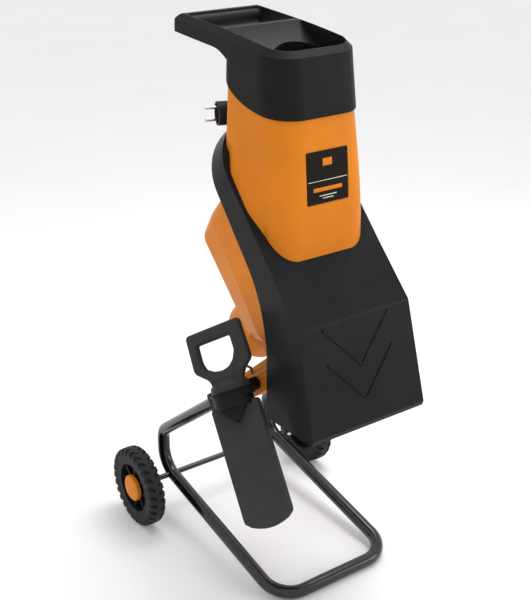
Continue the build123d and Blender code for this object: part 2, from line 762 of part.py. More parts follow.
with BuildPart() as bearing_bridge:
    with BuildSketch(FLANGE.offset(BRIDGE_START)):
        with Locations(*POSTS):
            Circle(9)
        make_hull()
        with Locations((0, MOTOR_U)):
            Circle(40)
        with Locations((0, 130)):
            Rectangle(70, 60)
        with Locations((0, CUTTER_U)):
            Circle(BEARING_R, mode=Mode.SUBTRACT)
        with Locations((0, MOTOR_U)):
            Circle(11, mode=Mode.SUBTRACT)
        with Locations((-36, CUTTER_U), (36, CUTTER_U)):
            SlotOverall(40, 16, rotation=90, mode=Mode.SUBTRACT)
    extrude(amount=BRIDGE_END - BRIDGE_START)
save(bearing_bridge.part, "bearing_bridge")


def bearing(u, start, end, outer, inner):
    """A ball bearing drawn as one ring with a groove between its races."""
    with BuildPart() as ring:
        add(turned(u, start, end, outer, inner))
        groove_out = outer - (outer - inner) * 0.3
        groove_in = inner + (outer - inner) * 0.3
        add(turned(u, start, start + 1, groove_out, groove_in), mode=Mode.SUBTRACT)
        add(turned(u, end - 1, end, groove_out, groove_in), mode=Mode.SUBTRACT)
    return ring.part


with BuildPart() as cutter_bearings:
    add(bearing(CUTTER_U, PLATE_START, PLATE_END + 2, BEARING_R, SHAFT_R + RUNNING_GAP))
    add(bearing(CUTTER_U, BRIDGE_START, BRIDGE_END, BEARING_R, SHAFT_R + RUNNING_GAP))
save(cutter_bearings.part, "cutter_bearings")

with BuildPart() as armature_bearings:
    add(bearing(MOTOR_U, BRIDGE_START, BRIDGE_END, 11, ARMATURE_R + RUNNING_GAP))
    add(bearing(MOTOR_U, 198, 206, 8.5, ARMATURE_R - 1 + RUNNING_GAP))
save(armature_bearings.part, "armature_bearings")

with BuildPart() as cutter_shaft:
    add(turned(CUTTER_U, -12, 42, SHAFT_R))
    add(turned(CUTTER_U, -11.5, -1, 13))
save(cutter_shaft.part, "cutter_shaft")

TEETH_PITCH = 5.0


def pulley(u, radius, bore):
    """A toothed belt pulley between two side flanges."""
    teeth = round(2 * 3.1416 * radius / TEETH_PITCH)
    with BuildPart() as wheel:
        add(turned(u, BELT_START, BELT_END, radius))
        with BuildSketch(FLANGE.offset(BELT_START)):
            with Locations((0, u)):
                with PolarLocations(radius, teeth):
                    Rectangle(2.4, 1.8, mode=Mode.ADD)
        extrude(amount=BELT_END - BELT_START, mode=Mode.SUBTRACT)
        add(turned(u, BELT_START - 2, BELT_START - 0.4, radius + 3.5))
        add(turned(u, BELT_END + 0.4, BELT_END + 2, radius + 3.5))
        add(turned(u, BELT_START - 2, BELT_END + 2, radius - 2))
        add(turned(u, BELT_START - 6, BELT_END + 9, bore), mode=Mode.SUBTRACT)
    return wheel.part


save(pulley(CUTTER_U, DRIVE_PULLEY_R, SHAFT_R), "drive_pulley")
save(pulley(MOTOR_U, MOTOR_PULLEY_R, ARMATURE_R), "motor_pulley")

with BuildPart() as drive_belt:
    for grow, mode in ((BELT_GAP + BELT_THICK, Mode.ADD), (BELT_GAP, Mode.SUBTRACT)):
        with BuildSketch(FLANGE.offset(BELT_START)):
            with Locations((0, CUTTER_U)):
                Circle(DRIVE_PULLEY_R + grow)
            with Locations((0, MOTOR_U)):
                Circle(MOTOR_PULLEY_R + grow)
            make_hull()
        extrude(amount=BELT_END - BELT_START, mode=mode)
save(drive_belt.part, "drive_belt")

# ---------------------------------------------------------------- cutter
DISC_BACK = -12.0
DISC_FRONT = -20.0
KNIFE_FRONT = -24.0

with BuildPart() as cutter_disc:
    add(turned(CUTTER_U, DISC_FRONT, DISC_BACK, DISC_R))
    for side in (-1, 1):
        with BuildSketch(FLANGE.offset(DISC_FRONT)):
            with Locations((side * 15, CUTTER_U + side * 50)):
                Rectangle(12, 50)
        extrude(amount=DISC_BACK - DISC_FRONT, mode=Mode.SUBTRACT)
        with BuildSketch(FLANGE.offset(DISC_FRONT)):
            with Locations((side * 34, CUTTER_U + side * 36), (side * 34, CUTTER_U + side * 64)):
                Circle(2.5)
        extrude(amount=DISC_BACK - DISC_FRONT, mode=Mode.SUBTRACT)
    add(turned(CUTTER_U, DISC_FRONT, DISC_BACK, 4), mode=Mode.SUBTRACT)
save(cutter_disc.part, "cutter_disc")

with BuildPart() as knives:
    for side in (-1, 1):
        with BuildSketch(FLANGE.offset(KNIFE_FRONT)):
            with Locations((side * 32, CUTTER_U + side * 50)):
                Rectangle(26, 46)
            with Locations((side * 34, CUTTER_U + side * 36), (side * 34, CUTTER_U + side * 64)):
                Circle(2.5, mode=Mode.SUBTRACT)
        extrude(amount=DISC_FRONT - KNIFE_FRONT)
save(knives.part, "knives")

with BuildPart() as knife_screws:
    for side in (-1, 1):
        for spot in (36, 64):
            u = CUTTER_U + side * spot
            add(turned(u, KNIFE_FRONT, DISC_BACK, 2.5, x=side * 34))
            add(turned(u, KNIFE_FRONT - 1.6, KNIFE_FRONT, 4.5, x=side * 34))
save(knife_screws.part, "knife_screws")

with BuildPart() as disc_bolt:
    with BuildSketch(FLANGE.offset(DISC_FRONT)):
        with Locations((0, CUTTER_U)):
            RegularPolygon(8, 6)
    extrude(amount=-5)
    add(turned(CUTTER_U, DISC_FRONT, DISC_BACK, 4))
save(disc_bolt.part, "disc_bolt")

with BuildPart() as counter_knife:
    with BuildSketch(FLANGE.offset(-28.6)):
        with Locations((THROAT_X, 104)):
            Rectangle(76, 14)
    extrude(amount=1.8)
    with BuildSketch(FLANGE.offset(-38)):
        with Locations((THROAT_X, 112)):
            Rectangle(76, 3)
    extrude(amount=10)
    add(feed_throat.part, mode=Mode.SUBTRACT)
save(counter_knife.part, "counter_knife")

# ---------------------------------------------------------------- motor
STACK_START = 108.0
STACK_END = 166.0

with BuildPart() as stator_core:
    with BuildSketch(FLANGE.offset(STACK_START)):
        with Locations((0, MOTOR_U)):
            Circle(43)
            Circle(31, mode=Mode.SUBTRACT)
            for side in (-1, 1):
                with Locations((side * 29, 0)):
                    Rectangle(10, 26)
            Circle(24, mode=Mode.SUBTRACT)
    extrude(amount=STACK_END - STACK_START)
save(stator_core.part, "stator_core")

with BuildPart() as field_coils:
    for side in (-1, 1):
        for start, end in ((STACK_START - 8, STACK_START - 0.5), (STACK_END + 0.5, STACK_END + 8)):
            with BuildSketch(FLANGE.offset(start)):
                with Locations((side * 33, MOTOR_U)):
                    RectangleRounded(12, 44, 5)
            extrude(amount=end - start)
save(field_coils.part, "field_coils")

with BuildPart() as armature_shaft:
    add(turned(MOTOR_U, 11, 198, ARMATURE_R))
    add(turned(MOTOR_U, 198, 206, ARMATURE_R - 1))
save(armature_shaft.part, "armature_shaft")

with BuildPart() as armature_core:
    with BuildSketch(FLANGE.offset(STACK_START)):
        with Locations((0, MOTOR_U)):
            Circle(23.4)
            Circle(ARMATURE_R, mode=Mode.SUBTRACT)
            with PolarLocations(21, 12):
                Rectangle(7, 2.4, mode=Mode.SUBTRACT)
    extrude(amount=STACK_END - STACK_START)
save(armature_core.part, "armature_core")

with BuildPart() as armature_windings:
    add(turned(MOTOR_U, STACK_START - 9, STACK_START - 0.2, 19, ARMATURE_R))
    add(turned(MOTOR_U, STACK_END + 0.2, STACK_END + 9, 19, ARMATURE_R))
save(armature_windings.part, "armature_windings")

with BuildPart() as commutator:
    with BuildSketch(FLANGE.offset(STACK_END + 10)):
        with Locations((0, MOTOR_U)):
            Circle(12)
            Circle(ARMATURE_R, mode=Mode.SUBTRACT)
            with PolarLocations(12, 24):
                Rectangle(2, 0.6, mode=Mode.SUBTRACT)
    extrude(amount=14)
save(commutator.part, "commutator")

save(turned(MOTOR_U, 76, 80, 12, ARMATURE_R), "fan_spacer")

with BuildPart() as cooling_fan:
    add(turned(MOTOR_U, 82, 84, 38, ARMATURE_R))
    add(turned(MOTOR_U, 80, 94, 10, ARMATURE_R))
    with BuildSketch(FLANGE.offset(84)):
        with Locations((0, MOTOR_U)):
            with PolarLocations(26, 9):
                Rectangle(20, 1.8, rotation=24)
    extrude(amount=9)
save(cooling_fan.part, "cooling_fan")

with BuildPart() as brush_holders:
    for side in (-1, 1):
        with BuildSketch(FLANGE.offset(STACK_END + 12)):
            with Locations((side * 30, MOTOR_U)):
                Rectangle(24, 12)
                Rectangle(24.2, 8, mode=Mode.SUBTRACT)
        extrude(amount=10)
save(brush_holders.part, "brush_holders")

with BuildPart() as carbon_brushes:
    for side in (-1, 1):
        with BuildSketch(FLANGE.offset(STACK_END + 13)):
            with Locations((side * 21.2, MOTOR_U)):
                Rectangle(18, 7.8)
        extrude(amount=8)
save(carbon_brushes.part, "carbon_brushes")

# ---------------------------------------------------------------- switch box, plug and buttons
BOX_REAR = -78.0
BOX_X = (-38.0, 42.0)
BOX_Z = (754.0, 802.0)
PLUG_AXIS = (-cos(radians(20)), sin(radians(20)), 0)
PLUG = Plane(origin=at(-64, -81, 752), x_dir=(sin(radians(20)), cos(radians(20)), 0), z_dir=PLUG_AXIS)
PLUG_R = 18.5
PLUG_RECESS = 4.0
PIN_PLACES = ((0, 9.5), (0, -9.5))
PIN_R = 2.4
PIN_ROOT_R = 3.2
PIN_REACH = 19.0
BUTTONS = {
    "start_button": (2, 785, 8),
    "stop_button": (26, 785, 8),
    "reset_button": (14, 764, 5),
}

with BuildPart() as plug_body:
    with BuildSketch(PLUG):
        Circle(PLUG_R)
    extrude(amount=-22)
    with BuildSketch(PLUG):
        Circle(15.5)
    extrude(amount=-PLUG_RECESS, mode=Mode.SUBTRACT)
    with BuildSketch(PLUG.offset(-22)):
        Circle(14)
    extrude(amount=-8)
    with BuildSketch(PLUG.offset(-PLUG_RECESS)):
        with Locations(*PIN_PLACES):
            Circle(PIN_ROOT_R)
    extrude(amount=-10, mode=Mode.SUBTRACT)

with BuildPart() as switch_box:
    with BuildSketch(Plane.XZ.offset(-(AXLE_Y + SHELL_REAR + 0.1))):
        with Locations((sum(BOX_X) / 2, sum(BOX_Z) / 2)):
            RectangleRounded(BOX_X[1] - BOX_X[0], BOX_Z[1] - BOX_Z[0], 8)
    extrude(amount=-(BOX_REAR - SHELL_REAR - 0.1))
    fillet(switch_box.faces().sort_by(Axis.Y)[-1].edges(), radius=4)
    for x, z, radius in BUTTONS.values():
        with BuildSketch(Plane.XZ.offset(-(AXLE_Y + BOX_REAR))):
            with Locations((x, z)):
                Circle(radius + 0.5)
        extrude(amount=9, mode=Mode.SUBTRACT)
    with BuildSketch(PLUG.offset(-22)):
        Circle(14)
    extrude(amount=-8, mode=Mode.SUBTRACT)
    with BuildSketch(PLUG):
        Circle(PLUG_R + 0.1)
    extrude(amount=-22, mode=Mode.SUBTRACT)
save(switch_box.part, "switch_box")

with BuildPart() as plug_trim:
    add(plug_body.part)
    add(feed_shell.part, mode=Mode.SUBTRACT)
    add(hood_volume(-0.5, False), mode=Mode.SUBTRACT)
save(plug_trim.part, "plug_body")

with BuildPart() as plug_pins:
    with BuildSketch(PLUG.offset(-PLUG_RECESS)):
        with Locations(*PIN_PLACES):
            Circle(PIN_R)
    extrude(amount=PIN_REACH + PLUG_RECESS)
    fillet(plug_pins.edges().filter_by(GeomType.CIRCLE).group_by(Axis.X)[0], radius=1.2)
    with BuildSketch(PLUG.offset(-PLUG_RECESS)):
        with Locations(*PIN_PLACES):
            Circle(PIN_ROOT_R)
    extrude(amount=-10)
save(plug_pins.part, "plug_pins")

for label, (x, z, radius) in BUTTONS.items():
    with BuildPart() as button:
        with BuildSketch(Plane.XZ.offset(-(AXLE_Y + BOX_REAR - 5))):
            with Locations((x, z)):
                Circle(radius)
        extrude(amount=-8)
        fillet(button.faces().sort_by(Axis.Y)[-1].edges(), radius=1)
    save(button.part, label)

# ---------------------------------------------------------------- safety switch
with BuildPart() as interlock_switch:
    with BuildSketch(FLANGE.offset(PLATE_END)):
        with Locations((INTERLOCK_X - 2, INTERLOCK_U)):
            Rectangle(10, 22)
    extrude(amount=9)
    add(turned(INTERLOCK_U, PLATE_END, PLATE_END + 6, 2.6, x=INTERLOCK_X), mode=Mode.SUBTRACT)
save(interlock_switch.part, "interlock_switch")
save(turned(INTERLOCK_U, PLATE_START, PLATE_END + 2, 2.5, x=INTERLOCK_X), "interlock_plunger")

# ---------------------------------------------------------------- pusher and its holder
lean = radians(UPRIGHT_SLOPE)
hang = Vector(0, -sin(lean), -cos(lean))
across = Vector(1, 0, 0).rotate(Axis((0, 0, 0), tuple(hang)), PUSHER_TURN)
facing = hang.cross(across)
hang = hang.rotate(Axis((0, 0, 0), tuple(facing)), PUSHER_TILT)
across = across.rotate(Axis((0, 0, 0), tuple(facing)), PUSHER_TILT)
RING = Plane(origin=at(PUSHER_X, PUSHER_Y, PUSHER_Z), x_dir=across, z_dir=-hang)
FACE = Plane(origin=RING.origin, x_dir=across, z_dir=facing)
PADDLE_HALF = 37.5
PADDLE_TOP = -20.0
PADDLE_END = -211.0
PADDLE_THICK = 24.0
GRIP_OUTLINE = [
    (24, -6),
    (24.5, 12),
    (28, 24),
    (45.5, 40),
    (44, 104),
    (-44.5, 98.5),
    (-46.5, 40),
    (-28, 24),
    (-24.5, 12),
    (-24, -6),
]


def ring_part(start, end, radius, bore=0.0):
    with BuildPart() as piece:
        with BuildSketch(RING.offset(start)):
            Circle(radius)
            if bore:
                Circle(bore, mode=Mode.SUBTRACT)
        extrude(amount=end - start)
    return piece.part


with BuildPart() as pusher:
    with BuildSketch(FACE):
        with BuildLine():
            Polyline((PADDLE_HALF, PADDLE_END + 12), (PADDLE_HALF, PADDLE_TOP))
            Polyline((PADDLE_HALF, PADDLE_TOP), (-PADDLE_HALF, PADDLE_TOP))
            Polyline((-PADDLE_HALF, PADDLE_TOP), (-PADDLE_HALF, PADDLE_END + 12))
            ThreePointArc((-PADDLE_HALF, PADDLE_END + 12), (0, PADDLE_END), (PADDLE_HALF, PADDLE_END + 12))
        make_face()
    extrude(amount=PADDLE_THICK / 2, both=True)
    long_way = Axis(RING.origin, RING.z_dir)
    through = pusher.edges().filter_by(Axis(RING.origin, FACE.z_dir))
    fillet(through, radius=11)
    fillet(pusher.edges().filter_by(long_way), radius=2)
    with BuildSketch(FACE) as grip:
        with BuildLine():
            Polyline(*GRIP_OUTLINE, close=True)
        make_face()
        fillet(grip.vertices().sort_by(Axis.Y)[-4:], radius=11)
        with BuildLine():
            Polyline((-29.5, 52), (-29, 79), (22, 81.5), (22, 56))
            ThreePointArc((22, 56), (-4, 33.5), (-29.5, 52))
        make_face(mode=Mode.SUBTRACT)
    extrude(amount=10, both=True)
    add(ring_part(-22, 0, 20))
    with BuildSketch(RING.offset(0)):
        Circle(30)
    with BuildSketch(RING.offset(22)):
        RectangleRounded(44, 26, 8)
    loft()
save(pusher.part, "pusher")

with BuildPart() as pusher_collar:
    add(ring_part(-2.2, 0, 34))
    add(ring_part(-26, -2.2, COLLAR_R, COLLAR_R - 3))
    for side in (-1, 1):
        with BuildSketch(FACE.offset(side * 12.2)):
            with BuildLine():
                Polyline((-26, -20), (26, -20), (0, -50), close=True)
            make_face()
        extrude(amount=side * 12)
    with BuildSketch(RING.offset(-60)):
        Circle(COLLAR_R)
    extrude(amount=70, mode=Mode.INTERSECT)
    add(ring_part(-2.2, 0, 34))
    add(pusher.part, mode=Mode.SUBTRACT)
save(pusher_collar.part, "pusher_collar")

UPRIGHT = Plane(
    origin=at(-RAIL_X - TUBE_R - 0.1, REAR_BEND_Y, UPRIGHT_FOOT_Z),
    x_dir=(0, -cos(lean), sin(lean)),
    z_dir=(-1, 0, 0),
)
with BuildPart() as pusher_clip:
    add(ring_part(-12, -2.6, 35.5, COLLAR_R + 0.4))
    with BuildSketch(Plane.XY.offset(300)):
        with Locations((PUSHER_X - 50, AXLE_Y + PUSHER_Y)):
            Rectangle(100, 120)
    extrude(amount=140, mode=Mode.SUBTRACT)
    with BuildSketch(UPRIGHT) as base:
        with Locations((300, 0)):
            Rectangle(122, 28)
        fillet(base.vertices().group_by(Axis.Y)[-1], radius=5)
    extrude(amount=7)
    add(rod(BOLT_Y, BOLT_Z, -RAIL_X - TUBE_R + 1, -RAIL_X - TUBE_R - 12, 9), mode=Mode.SUBTRACT)
    add(ring_part(-60, 40, COLLAR_R + 0.4), mode=Mode.SUBTRACT)
    add(ring_part(-2.6, 40, 35), mode=Mode.SUBTRACT)
save(pusher_clip.part, "pusher_clip")

with BuildPart() as wire_hook:
    with BuildLine() as hook_line:
        FilletPolyline(
            at(-RAIL_X, -226, 372),
            at(-RAIL_X, -234, 398),
            at(-RAIL_X, -250, 400),
            at(-RAIL_X, -253, 392),
            radius=3.4,
        )
    with BuildSketch(Plane(origin=hook_line.line @ 0, z_dir=hook_line.line % 0)):
        Circle(2.2)
    sweep()
save(wire_hook.part, "wire_hook")
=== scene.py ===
import json
from math import cos, hypot, pi, radians, sin

import bmesh
import bpy
from mathutils import Matrix, Vector
from mathutils.bvhtree import BVHTree


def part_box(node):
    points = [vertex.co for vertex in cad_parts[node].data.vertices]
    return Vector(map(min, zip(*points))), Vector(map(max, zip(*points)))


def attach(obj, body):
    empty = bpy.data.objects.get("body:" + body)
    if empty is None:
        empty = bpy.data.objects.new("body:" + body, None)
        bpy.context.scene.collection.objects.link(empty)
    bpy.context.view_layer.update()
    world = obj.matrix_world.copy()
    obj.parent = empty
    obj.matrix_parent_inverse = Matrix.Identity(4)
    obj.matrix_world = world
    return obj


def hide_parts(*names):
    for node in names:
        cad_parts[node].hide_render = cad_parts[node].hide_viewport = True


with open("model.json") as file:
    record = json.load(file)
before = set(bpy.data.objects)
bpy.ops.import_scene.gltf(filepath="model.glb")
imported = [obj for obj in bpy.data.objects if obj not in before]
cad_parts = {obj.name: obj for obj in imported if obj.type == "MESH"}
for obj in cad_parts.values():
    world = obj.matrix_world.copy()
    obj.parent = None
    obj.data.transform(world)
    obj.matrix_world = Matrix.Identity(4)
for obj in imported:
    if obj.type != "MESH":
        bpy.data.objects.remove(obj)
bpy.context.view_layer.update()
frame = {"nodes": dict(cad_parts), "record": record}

# Looks of an electric wood chipper: moulded plastics, rubber tyres, enamelled tube, studio.
# Lengths are millimetres times MM, in the row frame: +Y to the rear, +Z up.

MM = 0.001


# ---------------------------------------------------------------- places read from the frame
def middle(node):
    low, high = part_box(node)
    return (Vector(low) + Vector(high)) / 2


def extent(node):
    low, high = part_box(node)
    return Vector(high) - Vector(low)


AXLE = middle("axle")


def at(x, y, z):
    """A point in metres from millimetres, with y measured from the wheel axle."""
    return Vector((x * MM, AXLE.y + y * MM, z * MM))


# ---------------------------------------------------------------- materials
class Nodes:
    """A material's node tree with short calls for the nodes used here."""

    def __init__(self, name):
        self.material = bpy.data.materials.new(name)
        self.material.use_nodes = True
        self.tree = self.material.node_tree
        self.shader = self.tree.nodes["Principled BSDF"]
        self.place = self.tree.nodes.new("ShaderNodeTexCoord").outputs["Object"]

    def node(self, kind, **values):
        made = self.tree.nodes.new(kind)
        for key, value in values.items():
            setattr(made, key, value)
        return made

    def link(self, source, target):
        self.tree.links.new(source, target)

    def noise(self, scale, detail=2.0, rough=0.5, stretch=None):
        """Noise at so many cells a metre, stretched along an axis if asked."""
        made = self.node("ShaderNodeTexNoise")
        made.inputs["Scale"].default_value = scale
        made.inputs["Detail"].default_value = detail
        made.inputs["Roughness"].default_value = rough
        source = self.place
        if stretch:
            mapping = self.node("ShaderNodeMapping")
            mapping.inputs["Scale"].default_value = stretch
            self.link(source, mapping.inputs["Vector"])
            source = mapping.outputs["Vector"]
        self.link(source, made.inputs["Vector"])
        return made.outputs["Fac"]

    def cells(self, scale):
        """Distance from the middle of small cells, for a pebbled skin."""
        made = self.node("ShaderNodeTexVoronoi")
        made.inputs["Scale"].default_value = scale
        self.link(self.place, made.inputs["Vector"])
        return made.outputs["Distance"]

    def remap(self, source, low, high, to_low, to_high):
        """A value that runs from to_low to to_high as source runs from low to high."""
        made = self.node("ShaderNodeMapRange")
        made.inputs["From Min"].default_value = low
        made.inputs["From Max"].default_value = high
        made.inputs["To Min"].default_value = to_low
        made.inputs["To Max"].default_value = to_high
        self.link(source, made.inputs["Value"])
        return made.outputs["Result"]

    def tint(self, source, low, high, dark, light):
        """A colour that runs from dark to light as source runs from low to high."""
        ramp = self.node("ShaderNodeValToRGB")
        ramp.color_ramp.elements[0].position = low
        ramp.color_ramp.elements[0].color = (*dark, 1)
        ramp.color_ramp.elements[1].position = high
        ramp.color_ramp.elements[1].color = (*light, 1)
        self.link(source, ramp.inputs["Fac"])
        return ramp.outputs["Color"]

    def bump(self, source, strength, depth, below=None):
        """Relief of so many metres, laid over the normals of another relief if given."""
        made = self.node("ShaderNodeBump")
        made.inputs["Strength"].default_value = strength
        made.inputs["Distance"].default_value = depth
        self.link(source, made.inputs["Height"])
        if below:
            self.link(below, made.inputs["Normal"])
        return made.outputs["Normal"]

    def soft_edges(self, radius):
        """Normals that turn over an edge as a small radius would."""
        made = self.node("ShaderNodeBevel", samples=6)
        made.inputs["Radius"].default_value = radius
        return made.outputs["Normal"]

    def colour(self, source):
        self.link(source, self.shader.inputs["Base Color"])

    def rough(self, source):
        self.link(source, self.shader.inputs["Roughness"])

    def normal(self, source):
        self.link(source, self.shader.inputs["Normal"])

    def set(self, **values):
        for key, value in values.items():
            self.shader.inputs[key.replace("_", " ")].default_value = value


def shade(colour, factor):
    return tuple(min(1.0, c * factor) for c in colour)


PLASTIC_IOR = 1.17   # low, so that white surroundings leave the black plastics black
EDGE_RADIUS = 0.0009  # metres, as a moulded edge has


def moulded(name, colour, rough, grain=1500.0, depth=0.00012, vary=0.08, spread=0.12):
    """Moulded plastic: spark-eroded grain, cloudy gloss and a little dust in the colour."""
    n = Nodes(name)
    cloud = n.noise(14.0, 4.0, 0.6)
    fine = n.noise(grain, 3.0, 0.65)
    ripple = n.bump(n.noise(60.0, 2.0), 0.15, 0.0004, n.soft_edges(EDGE_RADIUS))
    n.colour(n.tint(cloud, 0.35, 0.7, shade(colour, 1 - spread), shade(colour, 1 + spread)))
    n.rough(n.remap(fine, 0.3, 0.7, rough - vary, rough + vary))
    n.normal(n.bump(fine, 0.5, depth, ripple))
    n.set(IOR=PLASTIC_IOR)
    return n.material


def metal(name, colour, rough, stretch=(1, 1, 1), scale=900.0, depth=0.00005):
    """Bare or plated metal with fine tool lines and a few duller patches."""
    n = Nodes(name)
    lines = n.noise(scale, 3.0, 0.6, stretch)
    patch = n.noise(45.0, 4.0, 0.6)
    n.colour(n.tint(patch, 0.3, 0.75, shade(colour, 0.8), shade(colour, 1.08)))
    n.rough(n.remap(lines, 0.3, 0.7, rough * 0.7, rough * 1.4))
    n.normal(n.bump(lines, 0.4, depth))
    n.set(Metallic=1.0)
    return n.material


def enamel(name, colour, rough):
    """Stove enamel on tube: deep gloss with faint orange peel."""
    n = Nodes(name)
    peel = n.noise(420.0, 2.0, 0.5)
    dust = n.noise(30.0, 5.0, 0.65)
    n.colour(n.tint(dust, 0.4, 0.8, colour, shade(colour, 1.9)))
    n.rough(n.remap(dust, 0.35, 0.75, rough, rough + 0.12))
    n.normal(n.bump(peel, 0.25, 0.00008))
    n.set(IOR=1.45, Coat_Weight=0.3, Coat_Roughness=0.06)
    return n.material


def tyre_rubber(name, colour):
    """Solid tread rubber: dull, a little dusty, with a pebbled skin."""
    n = Nodes(name)
    cloud = n.noise(55.0, 5.0, 0.65)
    skin = n.cells(1400.0)
    n.colour(n.tint(cloud, 0.35, 0.7, shade(colour, 0.75), shade(colour, 1.35)))
    n.rough(n.remap(cloud, 0.3, 0.7, 0.55, 0.78))
    n.normal(n.bump(skin, 0.35, 0.00015))
    n.set(IOR=1.36)
    return n.material


ORANGE = (0.68, 0.207, 0.015)
BLACK = (0.013, 0.013, 0.0135)
FINISHES = {
    "frame_paint": enamel("enamel_black", (0.004, 0.004, 0.0045), 0.16),
    "cap_plastic": moulded("plastic_trim", BLACK, 0.42),
    "zinc_steel": metal("zinc_plate", (0.6, 0.61, 0.63), 0.3),
    "hook_wire": enamel("wire_black", (0.02, 0.02, 0.021), 0.25),
    "tyre_rubber": tyre_rubber("tyre_rubber", (0.012, 0.012, 0.0125)),
    "wheel_plastic": moulded("plastic_wheel", (0.009, 0.009, 0.0095), 0.36, 1100.0, 0.00008),
    "orange_plastic": moulded("plastic_orange", ORANGE, 0.38, 1200.0, 0.00005, 0.05, 0.05),
    "hood_plastic": moulded(
        "plastic_hood", (0.0145, 0.0145, 0.0148), 0.34, 1000.0, 0.00008, 0.06, 0.15,
    ),
    "hopper_plastic": moulded(
        "plastic_hopper", (0.0115, 0.0115, 0.0117), 0.42, 900.0, 0.00022, 0.08, 0.1,
    ),
    "pusher_plastic": moulded(
        "plastic_pusher", (0.041, 0.041, 0.0413), 0.44, 900.0, 0.0002, 0.1, 0.1,
    ),
    "label_film": moulded("label_film", (0.011, 0.0085, 0.006), 0.3, 2500.0, 0.00002),
    "switch_plastic": moulded("plastic_switch", (0.02, 0.02, 0.021), 0.42),
    "green_button": moulded("button_green", (0.02, 0.22, 0.05), 0.3, 2000.0, 0.00003),
    "red_button": moulded("button_red", (0.45, 0.015, 0.012), 0.3, 2000.0, 0.00003),
    "black_button": moulded("button_black", (0.02, 0.02, 0.02), 0.3, 2000.0, 0.00003),
    "plug_rubber": moulded("plug_rubber", (0.02, 0.02, 0.021), 0.45, 1300.0),
    "nickel_brass": metal("nickel", (0.72, 0.7, 0.66), 0.18, (1, 1, 1), 1500.0, 0.00002),
    "die_cast": metal("die_cast", (0.5, 0.51, 0.52), 0.48, (1, 1, 1), 700.0, 0.0002),
    "bearing_steel": metal("bearing_steel", (0.66, 0.66, 0.68), 0.16, (6, 1, 1), 1200.0),
    "cutter_steel": metal("cutter_steel", (0.5, 0.5, 0.51), 0.34, (1, 1, 9), 500.0),
    "tool_steel": metal("tool_steel", (0.62, 0.62, 0.65), 0.22, (1, 8, 1), 700.0),
    "pulley_nylon": moulded("nylon", (0.06, 0.06, 0.063), 0.45, 1400.0),
    "belt_rubber": moulded("belt_rubber", (0.014, 0.014, 0.014), 0.6, 2200.0, 0.0001),
    "laminations": metal("laminations", (0.2, 0.2, 0.21), 0.45, (1, 1, 14), 400.0, 0.0001),
    "copper_wire": metal("copper_wire", (0.62, 0.26, 0.11), 0.3, (1, 12, 1), 700.0, 0.0002),
    "brush_carbon": moulded("carbon", (0.025, 0.025, 0.028), 0.5, 2200.0),
    "insulator": moulded("insulator", (0.07, 0.066, 0.06), 0.5, 1500.0),
}


def paint_frame():
    """Every CAD node gets the finish of its slot in the record."""
    for part in frame["record"]["subparts"]:
        node = frame["nodes"][part["node"]]
        node.data.materials.clear()
        node.data.materials.append(FINISHES[part["material_slot"]])


paint_frame()


# ---------------------------------------------------------------- mesh helpers
WELD = 0.00001  # metres


def new_piece(name, verts, faces, slot, body, smooth, replaced=()):
    """A closed piece in a slot's finish that rides on a body and may stand for CAD nodes.

    Edges that turn by more than smooth degrees stay sharp.
    """
    mesh = bpy.data.meshes.new(name)
    mesh.from_pydata([tuple(v) for v in verts], [], faces)
    mesh.validate()
    piece = bpy.data.objects.new(name, mesh)
    bpy.context.scene.collection.objects.link(piece)
    tidy = bmesh.new()
    tidy.from_mesh(mesh)
    bmesh.ops.remove_doubles(tidy, verts=tidy.verts, dist=WELD)
    bmesh.ops.recalc_face_normals(tidy, faces=tidy.faces)
    tidy.to_mesh(mesh)
    tidy.free()
    mesh.shade_smooth()
    mesh.set_sharp_from_angle(angle=radians(smooth))
    mesh.materials.append(FINISHES[slot])
    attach(piece, body)
    if replaced:
        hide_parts(*replaced)
    return piece


def ring_faces(rings, count, start=0, closed=False):
    """Quads between rings of count points each, and from the last to the first if closed."""
    faces = []
    for j in range(rings if closed else rings - 1):
        here = start + j * count
        ahead = start + (j + 1) % rings * count
        for k in range(count):
            after = (k + 1) % count
            faces.append((here + k, here + after, ahead + after, ahead + k))
    return faces


def smoothstep(low, high, value):
    """0 below low, 1 above high, with a smooth rise between them."""
    t = min(1.0, max(0.0, (value - low) / (high - low)))
    return t * t * (3 - 2 * t)


# ---------------------------------------------------------------- tyres
LUGS = 28
STEPS_PER_LUG = 18
LUG_DEPTH = 4.2
TREAD_R = 72.0
TREAD_FOOT_R = 61.0  # the grooves run out on the wall between these two radii
TREAD_FULL_R = 64.0
BEAD_R = 47.0
GROOVE = 6.4         # width of the gap between two lugs at the shoulder
GROOVE_IN = 3.2      # width of the slanting groove on the crown
CROWN = 3.4          # half width of the plain band round the middle
CROWN_STEPS = 26
SHOULDER = 4.8       # from the tyre's side to where the crown begins
BEND = 8.5           # distance from the middle at which a groove turns
SLANT = 1.1
LUG_ROUND = 0.5      # half width of the slope on a lug's wall
GROOVE_RUN = 1.2     # length over which a groove deepens from the plain band
SIDE_CUT = 0.35      # share of a groove's depth that the tyre's side takes sideways instead
SIDE_SHIFT = 0.3
CROWN_DROP = 0.4


def tyre_profile(half, outer):
    """Points (x, radius) across the tyre from bead to bead, in millimetres."""
    side = [
        (half - 2.0, BEAD_R), (half - 2.0, BEAD_R + 5), (half - 1.4, BEAD_R + 8),
        (half - 0.7, BEAD_R + 11.5), (half - 0.2, 61.5), (half, 63.5), (half, 65.5),
        (half - 0.2, 67.0), (half - 0.9, 68.6), (half - 2.0, 70.0), (half - 3.4, 71.0),
        (half - SHOULDER, 71.6),
    ]
    reach = half - SHOULDER
    points = [(-x, r) for x, r in side]
    for i in range(1, CROWN_STEPS):
        x = -reach + 2 * reach * i / CROWN_STEPS
        points.append((x, outer - CROWN_DROP * (x / reach) ** 2))
    return points + side[::-1]


